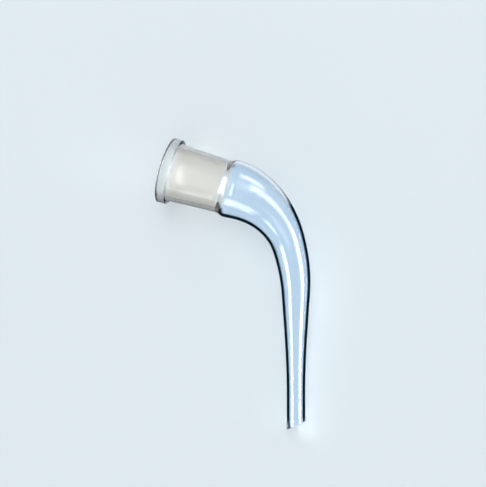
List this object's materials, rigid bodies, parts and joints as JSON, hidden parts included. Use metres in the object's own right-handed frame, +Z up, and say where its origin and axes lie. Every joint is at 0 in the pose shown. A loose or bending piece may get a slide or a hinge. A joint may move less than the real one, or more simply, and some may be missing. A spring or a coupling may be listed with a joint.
{
  "type": "bent receiver adapter",
  "caption": "Bent glass receiver adapter with a beaded ground socket and a drawn delivery tube, which leads distillate from a condenser down into a receiver.",
  "frame": {"origin": "middle of the ground that the lying adapter covers, on the table's surface", "axes": "+X from the socket's mouth into the adapter, in plan; the delivery tube runs away towards -Y; +Z up from the table that the adapter lies on"},
  "size_m": [0.0976, 0.118, 0.0317],
  "materials": {
    "glass": "clear, fire-polished glass, with a finely ground bore in the socket"
  },
  "bodies": {
    "root": {"adapter": "glass"}
  },
  "joints": []
}
